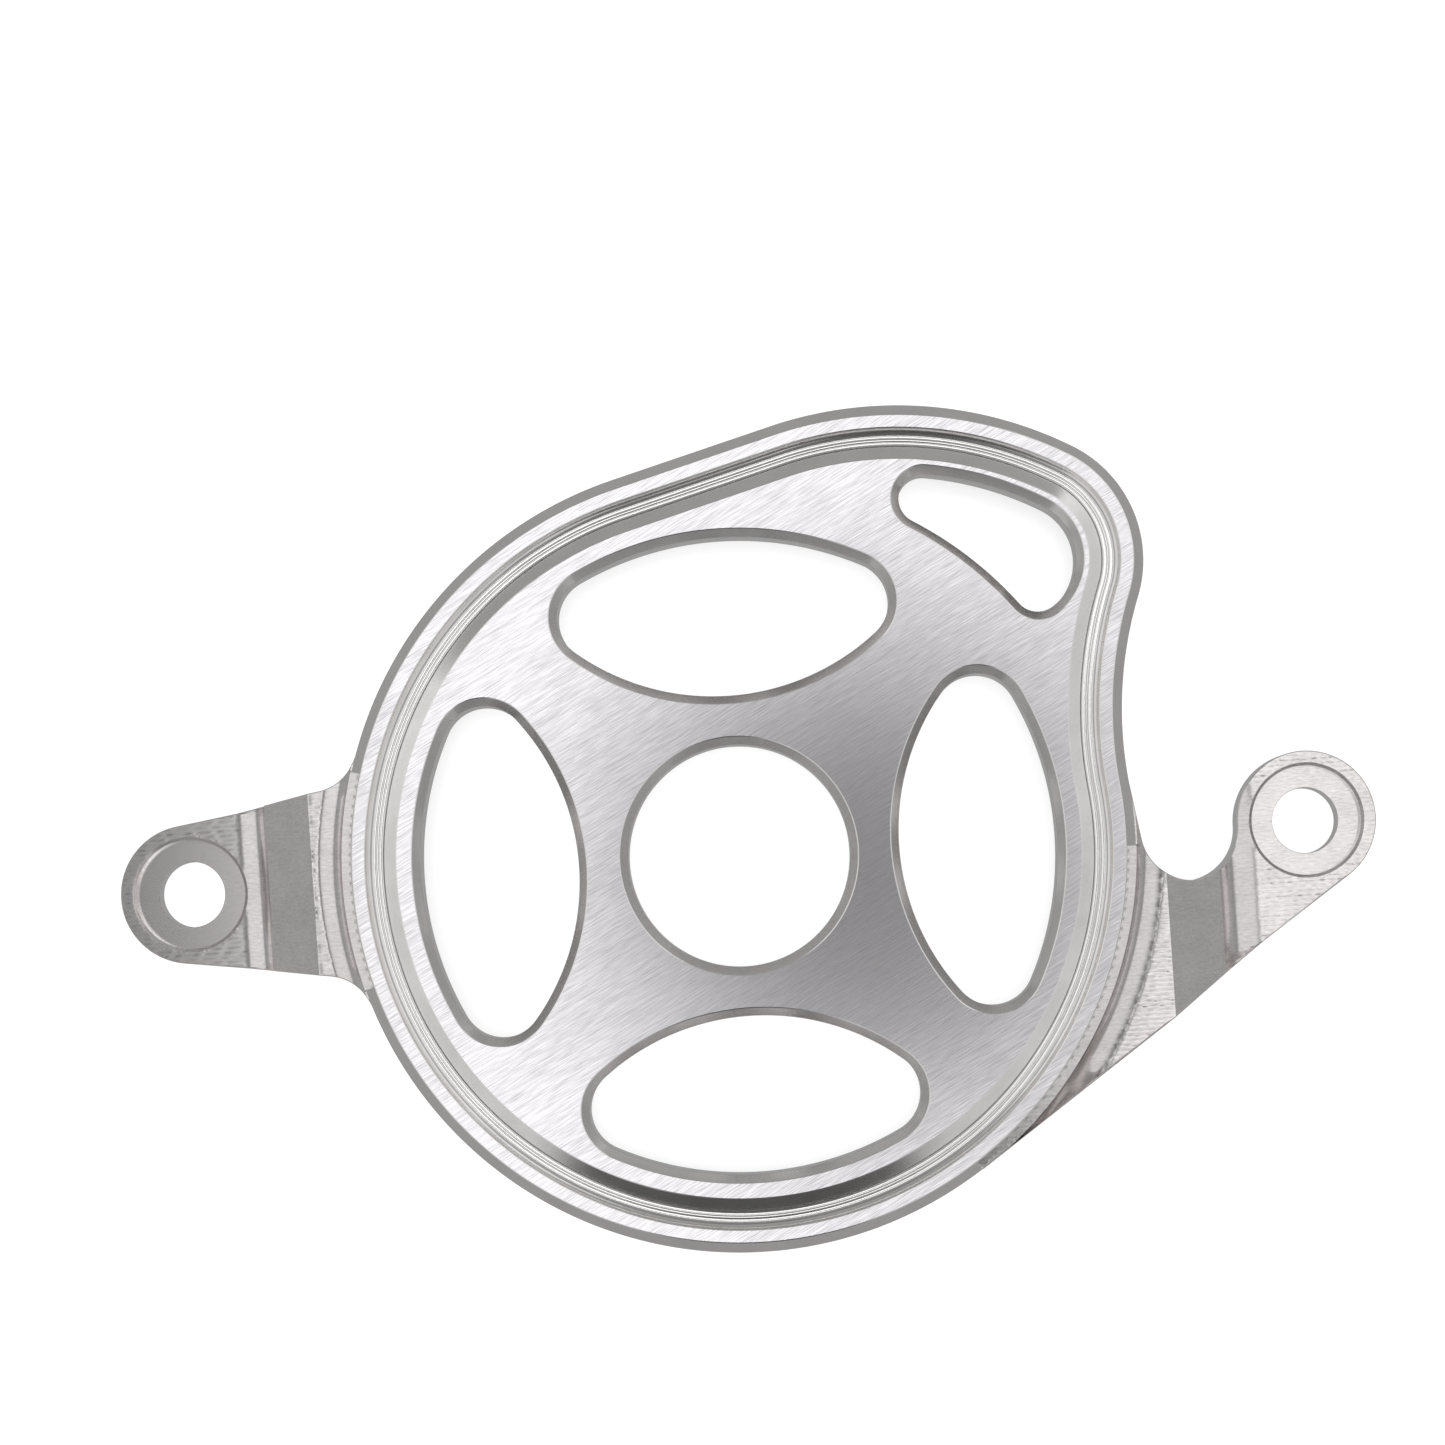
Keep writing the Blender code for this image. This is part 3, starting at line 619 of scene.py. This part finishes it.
def loose_points(outline, path, bolt, steps, radius):
    """The other points of an ear's plan: on circles near the cap, and beyond in rows along the passes.

    The rows stand five to a pass. On the cove their points stand where the circle has turned by one even
    step more, and elsewhere 0.4 mm apart.
    """
    _, wall, _, foot = steps
    turn = np.linspace(0.0, math.pi / 2.0, 19)
    rings = np.concatenate((MAIN_RADIUS - BAND_RINGS, FOOT_REACH - WALL_FILLET * np.cos(turn),
                            FOOT_REACH + FOOT_RINGS))
    spread = np.arctan2(outline[:, 1], outline[:, 0])[np.hypot(*outline.T) < FOOT_REACH]
    angle = np.arange(spread.min(), spread.max(), PASS_WIDTH / 4.0 / MAIN_RADIUS)
    polar_grid = np.stack((rings[:, None] * np.cos(angle), rings[:, None] * np.sin(angle)), axis=-1).reshape(-1, 2)
    cove_lines = foot - radius * np.sin(turn)
    columns = np.unique(np.round(np.concatenate((
        np.arange(outline[:, 0].min(), wall, POINTS_APART), cove_lines[cove_lines > wall + 0.0001],
        np.arange(foot, outline[:, 0].max(), POINTS_APART), steps)), 7))
    low, high = outline[:, 1].min() - OVERHANG, outline[:, 1].max() + OVERHANG
    rows = PASS_WIDTH * np.arange(math.floor(low / PASS_WIDTH), math.ceil(high / PASS_WIDTH) + 0.01,
                                  1.0 / ROWS_A_PASS)
    grid = np.stack(np.meshgrid(columns, rows), axis=-1).reshape(-1, 2)
    grid = grid[np.hypot(*grid.T) > FOOT_REACH + 0.0009]
    loose = np.concatenate((polar_grid, grid))
    loose = loose[within(loose, plan_points(path, EDGE_WEAR + 0.00006))]
    from_bolt = np.hypot(loose[:, 0] - bolt, loose[:, 1])
    clear_of_bore = np.abs(from_bolt - COUNTERBORE_RADIUS - 0.0002) > 0.00035
    return loose[clear_of_bore & (from_bolt > BOLT_HOLE_RADIUS + 0.00015)]


def ear(name, side, bolt, path, ramp_top, ramp_run, cove_run, band, marks, torn):
    """One ear as a closed skin: heights over a constrained triangulation of its plan, sides and a flat back."""
    outline = plan_points(path)
    wall, foot = ramp_top + ramp_run, ramp_top + ramp_run + cove_run
    steps = (ramp_top, wall, wall + SLIVER, foot)
    chains = ear_chains(outline, path, bolt, steps, band)
    loose = loose_points(outline, path, bolt, steps, cove_radius(ramp_run, cove_run))
    millimetres = np.concatenate(chains + [loose]) * 1000.0
    edges, first = [], 0
    for chain in chains:
        index = first + np.arange(len(chain))
        edges.append(np.column_stack((index, np.roll(index, -1)))[:len(chain) if len(chain) > 2 else 1])
        first += len(chain)
    found = delaunay_2d_cdt([Vector(p) for p in millimetres.tolist()], np.concatenate(edges).tolist(),
                            [], 0, 1e-5, False)
    plan = np.array([tuple(p) for p in found[0]]) / 1000.0
    faces = np.array(found[2])
    middle = plan[faces].mean(axis=1)
    outside_hole = np.hypot(middle[:, 0] - bolt, middle[:, 1]) > BOLT_HOLE_RADIUS * 0.9999
    faces = faces[within(middle, outline) & outside_hole]
    height = ear_heights(plan, bolt, ramp_top, ramp_run, cove_run, band, marks, torn)
    corners = np.column_stack((side * plan[:, 0] + AXIS[0], plan[:, 1] + AXIS[1], height))
    mesh = bpy.data.meshes.new(name)
    mesh.from_pydata(np.clip(corners, *CAD_BOX), [], faces.tolist())
    tear = mesh.attributes.new("chatter", "FLOAT", "POINT")
    tear.data.foreach_set("value", chatter(plan, bolt, ramp_top, foot, band, torn).astype(np.float32))
    work = bmesh.new()
    work.from_mesh(mesh)
    bmesh.ops.delete(work, geom=[v for v in work.verts if not v.link_faces], context="VERTS")
    border = [e for e in work.edges if len(e.link_faces) == 1]
    dropped = bmesh.ops.extrude_edge_only(work, edges=border)["geom"]
    for vertex in {v for e in border for v in e.verts}:
        vertex.co.z -= EDGE_WEAR
    for vertex in (v for v in dropped if isinstance(v, bmesh.types.BMVert)):
        vertex.co.z = BACK_HEIGHT
    bmesh.ops.triangle_fill(work, edges=[e for e in dropped if isinstance(e, bmesh.types.BMEdge)], use_beauty=True)
    bmesh.ops.recalc_face_normals(work, faces=work.faces)
    work.to_mesh(mesh)
    work.free()
    return placed(name, mesh)


# The left ear's sides taper straight to arcs that carry them into the cap's wall.
LEFT_BOLT = 0.0755
LEFT_TAPER = math.radians(8.2)
LEFT_FILLET = 0.0072
side_normal = math.pi / 2.0 - LEFT_TAPER
side_reach = TIP_RADIUS + LEFT_FILLET
base = (LEFT_BOLT + side_reach * math.cos(side_normal), side_reach * math.sin(side_normal))
along = -base[0] * math.cos(LEFT_TAPER) + base[1] * math.sin(LEFT_TAPER)
gap = base[0] ** 2 + base[1] ** 2 - (MAIN_RADIUS + LEFT_FILLET) ** 2
slide = -along - math.sqrt(along ** 2 - gap)
root = (base[0] - slide * math.cos(LEFT_TAPER), base[1] + slide * math.sin(LEFT_TAPER))
touch = bearing(root)
left_path = stations([
    ((LEFT_BOLT, 0.0), TIP_RADIUS, -1.0, -side_normal, side_normal),
    (root, LEFT_FILLET, 1.0, side_normal + math.pi, touch + math.pi),
    ((0.0, 0.0), ROOT_REACH, 1.0, touch, -touch),
    ((root[0], -root[1]), LEFT_FILLET, 1.0, math.pi - touch, math.pi - side_normal),
], ends=True)
left_ear = ear("left_ear", side=-1.0, bolt=LEFT_BOLT, path=left_path, ramp_top=0.0573, ramp_run=0.0067,
               cove_run=0.0043, band=(math.radians(-16.1), math.radians(16.1)), marks=0.45, torn=(0.0, 0.9))

# The right ear's lower side runs straight to the cap's own circle, and a round notch parts its tip from it.
RIGHT_BOLT = 0.0777
NOTCH_RADIUS = 0.0072
STUB = 0.0002  # radians of the cap's circle that stay on each side of the ear
low_side = math.asin((MAIN_RADIUS - TIP_RADIUS) / RIGHT_BOLT) - math.pi / 2.0
notch = (RIGHT_BOLT - TIP_RADIUS - NOTCH_RADIUS, 0.0)
cross = math.acos((MAIN_RADIUS + NOTCH_RADIUS) / notch[0])
right_path = stations([
    ((RIGHT_BOLT, 0.0), TIP_RADIUS, -1.0, low_side, math.pi),
    (notch, NOTCH_RADIUS, 1.0, 0.0, cross - math.pi),
    ((0.0, 0.0), MAIN_RADIUS, -1.0, cross - STUB, cross),
    ((0.0, 0.0), ROOT_REACH, 1.0, cross, low_side),
    ((0.0, 0.0), MAIN_RADIUS, -1.0, low_side, low_side + STUB),
], ends=True)
right_ear = ear("right_ear", side=1.0, bolt=RIGHT_BOLT, path=right_path, ramp_top=0.0570, ramp_run=0.0079,
                cove_run=0.0058, band=(math.radians(-62.0), math.radians(-2.3)), marks=1.0, torn=(1.0, 0.0))

milling, vector, leave = effect("milling")
passes = layer(milling, vector, size=(0.0022, 0.00022, 0.0022), detail=2.0)
speckle = layer(milling, vector, size=(0.0009, 0.00025, 0.0005), detail=2.0, seed=0.2)
clouds = layer(milling, vector, size=(0.005, 0.004, 0.005), detail=2.0, seed=0.5)
milling.links.new(blend(milling, passes, speckle, 0.35), leave.inputs["Height"])
milling.links.new(blend(milling, blend(milling, clouds, passes, 0.5), speckle, 0.45), leave.inputs["Tone"])
milled = metal("milled_aluminium", milling, depth=0.0000025, rough=(0.16, 0.23), tone=(0.68, 0.93),
               colour=(1.0, 0.965, 0.955), torn=0.75)


def ear_finish(normal, middle):
    """Milled on everything that faces up, plainly cut on the sides and the back."""
    return np.where(normal[:, 2] > 0.2, 0, 1)


for side in (left_ear, right_ear):
    dress(side, (milled, cut), ear_finish)

# Table
# The studio's table, a sheet of white plastic lit from behind: it glows, so the shadows on it stay faint.
# The metal mirrors it as pale grey. The part lies on it, a fifth of a millimetre above.
TABLE_REACH = 12.0
TABLE_GAP = 0.0002
table_mesh = bpy.data.meshes.new("table")
table_mesh.from_pydata([(-TABLE_REACH, -TABLE_REACH, 0.0), (TABLE_REACH, -TABLE_REACH, 0.0),
                        (TABLE_REACH, TABLE_REACH, 0.0), (-TABLE_REACH, TABLE_REACH, 0.0)], [], [(0, 1, 2, 3)])
table = bpy.data.objects.new("table", table_mesh)
bpy.context.scene.collection.objects.link(table)
table.location.z = -TABLE_GAP
white = bpy.data.materials.new("table_white")
white.use_nodes = True
shader = white.node_tree.nodes["Principled BSDF"]
shader.inputs["Roughness"].default_value = 0.9
shader.inputs["Specular IOR Level"].default_value = 0.0
shader.inputs["Emission Strength"].default_value = 1.0
ray = white.node_tree.nodes.new("ShaderNodeLightPath")
for title, seen, mirrored in (("Base Color", 0.25, 0.05), ("Emission Color", 0.80, 0.30)):
    paint = white.node_tree.nodes.new("ShaderNodeMix")
    paint.data_type = "RGBA"
    paint.inputs["A"].default_value = (seen, seen, seen, 1.0)
    paint.inputs["B"].default_value = (mirrored, mirrored, mirrored, 1.0)
    white.node_tree.links.new(ray.outputs["Is Glossy Ray"], paint.inputs["Factor"])
    white.node_tree.links.new(paint.outputs["Result"], shader.inputs[title])
table_mesh.materials.append(white)

# Lights
# A room that is pale behind the part and dark before it, a soft box on either side, a wide lamp overhead,
# and a lamp round the lens that leaves the lens itself dark, which is what the face plate mirrors.
ROOM_GREYS = ((0.10, 0.07), (0.50, 0.15), (0.90, 0.38))  # from the front of the room to its back


def faded(tree, source, start, end, low, high):
    """A value that goes smoothly from low to high while its source goes from start to end."""
    node = tree.nodes.new("ShaderNodeMapRange")
    node.interpolation_type = "SMOOTHSTEP"
    for title, value in (("From Min", start), ("From Max", end), ("To Min", low), ("To Max", high)):
        node.inputs[title].default_value = value
    tree.links.new(source, node.inputs["Value"])
    return node.outputs["Result"]


def combined(tree, operation, first, second):
    """Two values combined: the larger one for MAXIMUM, the product for MULTIPLY."""
    node = tree.nodes.new("ShaderNodeMath")
    node.operation = operation
    tree.links.new(first, node.inputs[0])
    tree.links.new(second, node.inputs[1])
    return node.outputs["Value"]


world = bpy.data.worlds.new("studio")
bpy.context.scene.world = world
world.use_nodes = True
tree = world.node_tree
place = tree.nodes.new("ShaderNodeTexCoord")
split = tree.nodes.new("ShaderNodeSeparateXYZ")
along_room = tree.nodes.new("ShaderNodeMath")
along_room.operation = "MULTIPLY_ADD"
along_room.inputs[1].default_value = along_room.inputs[2].default_value = 0.5
room = tree.nodes.new("ShaderNodeValToRGB")
room.color_ramp.elements.new(0.5)
for stop, (position, grey) in zip(room.color_ramp.elements, ROOM_GREYS):
    stop.position = position
    stop.color = (grey, grey, grey, 1.0)
tree.links.new(place.outputs["Generated"], split.inputs["Vector"])
tree.links.new(split.outputs["Y"], along_room.inputs[0])
tree.links.new(along_room.outputs["Value"], room.inputs["Fac"])
horizon = faded(tree, split.outputs["Z"], start=0.12, end=0.23, low=0.30, high=0.0)
tree.links.new(combined(tree, "MAXIMUM", room.outputs["Color"], horizon), tree.nodes["Background"].inputs["Color"])


def soft_box(name, place, size, radiance):
    """A rectangular lamp that faces the part. Its power is its radiance times its area times pi."""
    lamp = bpy.data.lights.new(name, "AREA")
    lamp.shape = "RECTANGLE"
    lamp.size, lamp.size_y = size
    lamp.energy = radiance * size[0] * size[1] * math.pi
    holder = bpy.data.objects.new(name, lamp)
    bpy.context.scene.collection.objects.link(holder)
    holder.location = place
    holder.rotation_euler = (-Vector(place)).to_track_quat("-Z", "Y").to_euler()


soft_box("left_box", place=(-0.88, -0.13, 0.75), size=(2.36, 1.32), radiance=0.66)
soft_box("right_box", place=(0.88, -0.07, 0.75), size=(3.35, 1.25), radiance=0.62)
overhead = bpy.data.lights.new("overhead", "SUN")
overhead.energy = 3.0
overhead.angle = math.radians(14.0)
overhead_holder = bpy.data.objects.new("overhead", overhead)
bpy.context.scene.collection.objects.link(overhead_holder)
overhead_holder.visible_glossy = False

LAMP_CENTRE = (0.0245, 0.0000, 0.600)
LAMP_HALF_WIDTH, LAMP_HALF_DEPTH = 0.190, 0.170
lamp_mesh = bpy.data.meshes.new("lens_lamp")
lamp_mesh.from_pydata([(-LAMP_HALF_WIDTH, -LAMP_HALF_DEPTH, 0.0), (-LAMP_HALF_WIDTH, LAMP_HALF_DEPTH, 0.0),
                       (LAMP_HALF_WIDTH, LAMP_HALF_DEPTH, 0.0), (LAMP_HALF_WIDTH, -LAMP_HALF_DEPTH, 0.0)],
                      [], [(0, 1, 2, 3)])
lens_lamp = bpy.data.objects.new("lens_lamp", lamp_mesh)
bpy.context.scene.collection.objects.link(lens_lamp)
lens_lamp.location = LAMP_CENTRE
lens_lamp.visible_shadow = False
lens_lamp.visible_camera = False
glow = bpy.data.materials.new("lamp_glow")
glow.use_nodes = True
tree = glow.node_tree
shader = tree.nodes["Principled BSDF"]
shader.inputs["Base Color"].default_value = (0.0, 0.0, 0.0, 1.0)
shader.inputs["Specular IOR Level"].default_value = 0.0
shader.inputs["Emission Strength"].default_value = 1.40
place = tree.nodes.new("ShaderNodeTexCoord")
from_middle = tree.nodes.new("ShaderNodeVectorMath")
from_middle.operation = "LENGTH"
split = tree.nodes.new("ShaderNodeSeparateXYZ")
tree.links.new(place.outputs["Object"], from_middle.inputs[0])
tree.links.new(place.outputs["Object"], split.inputs["Vector"])
hole = faded(tree, from_middle.outputs["Value"], start=0.030, end=0.110, low=0.13, high=1.0)
left_end = faded(tree, split.outputs["X"], start=-0.172, end=-0.140, low=0.0, high=1.0)
right_end = faded(tree, split.outputs["X"], start=-0.020, end=0.130, low=1.0, high=0.80)
brightness = combined(tree, "MULTIPLY", combined(tree, "MULTIPLY", hole, left_end), right_end)
tree.links.new(brightness, shader.inputs["Emission Color"])
lamp_mesh.materials.append(glow)

# Camera
# The photograph was taken straight down from 0.6 m, from over a point inside the cover that isn't the
# picture's middle, so the sensor is shifted and nothing is tilted.
camera = bpy.data.objects.new("camera", bpy.data.cameras.new("camera"))
bpy.context.scene.collection.objects.link(camera)
camera.location = (0.00501, -0.01322, 0.600)
camera.rotation_euler = (0.0, 0.0, math.radians(-3.82))
camera.data.sensor_width = 36.0
camera.data.lens = 108.0
camera.data.shift_x = -0.0467
camera.data.shift_y = 0.1436
camera.data.clip_start = 0.01
bpy.context.scene.camera = camera
bpy.context.scene.view_settings.view_transform = "Standard"
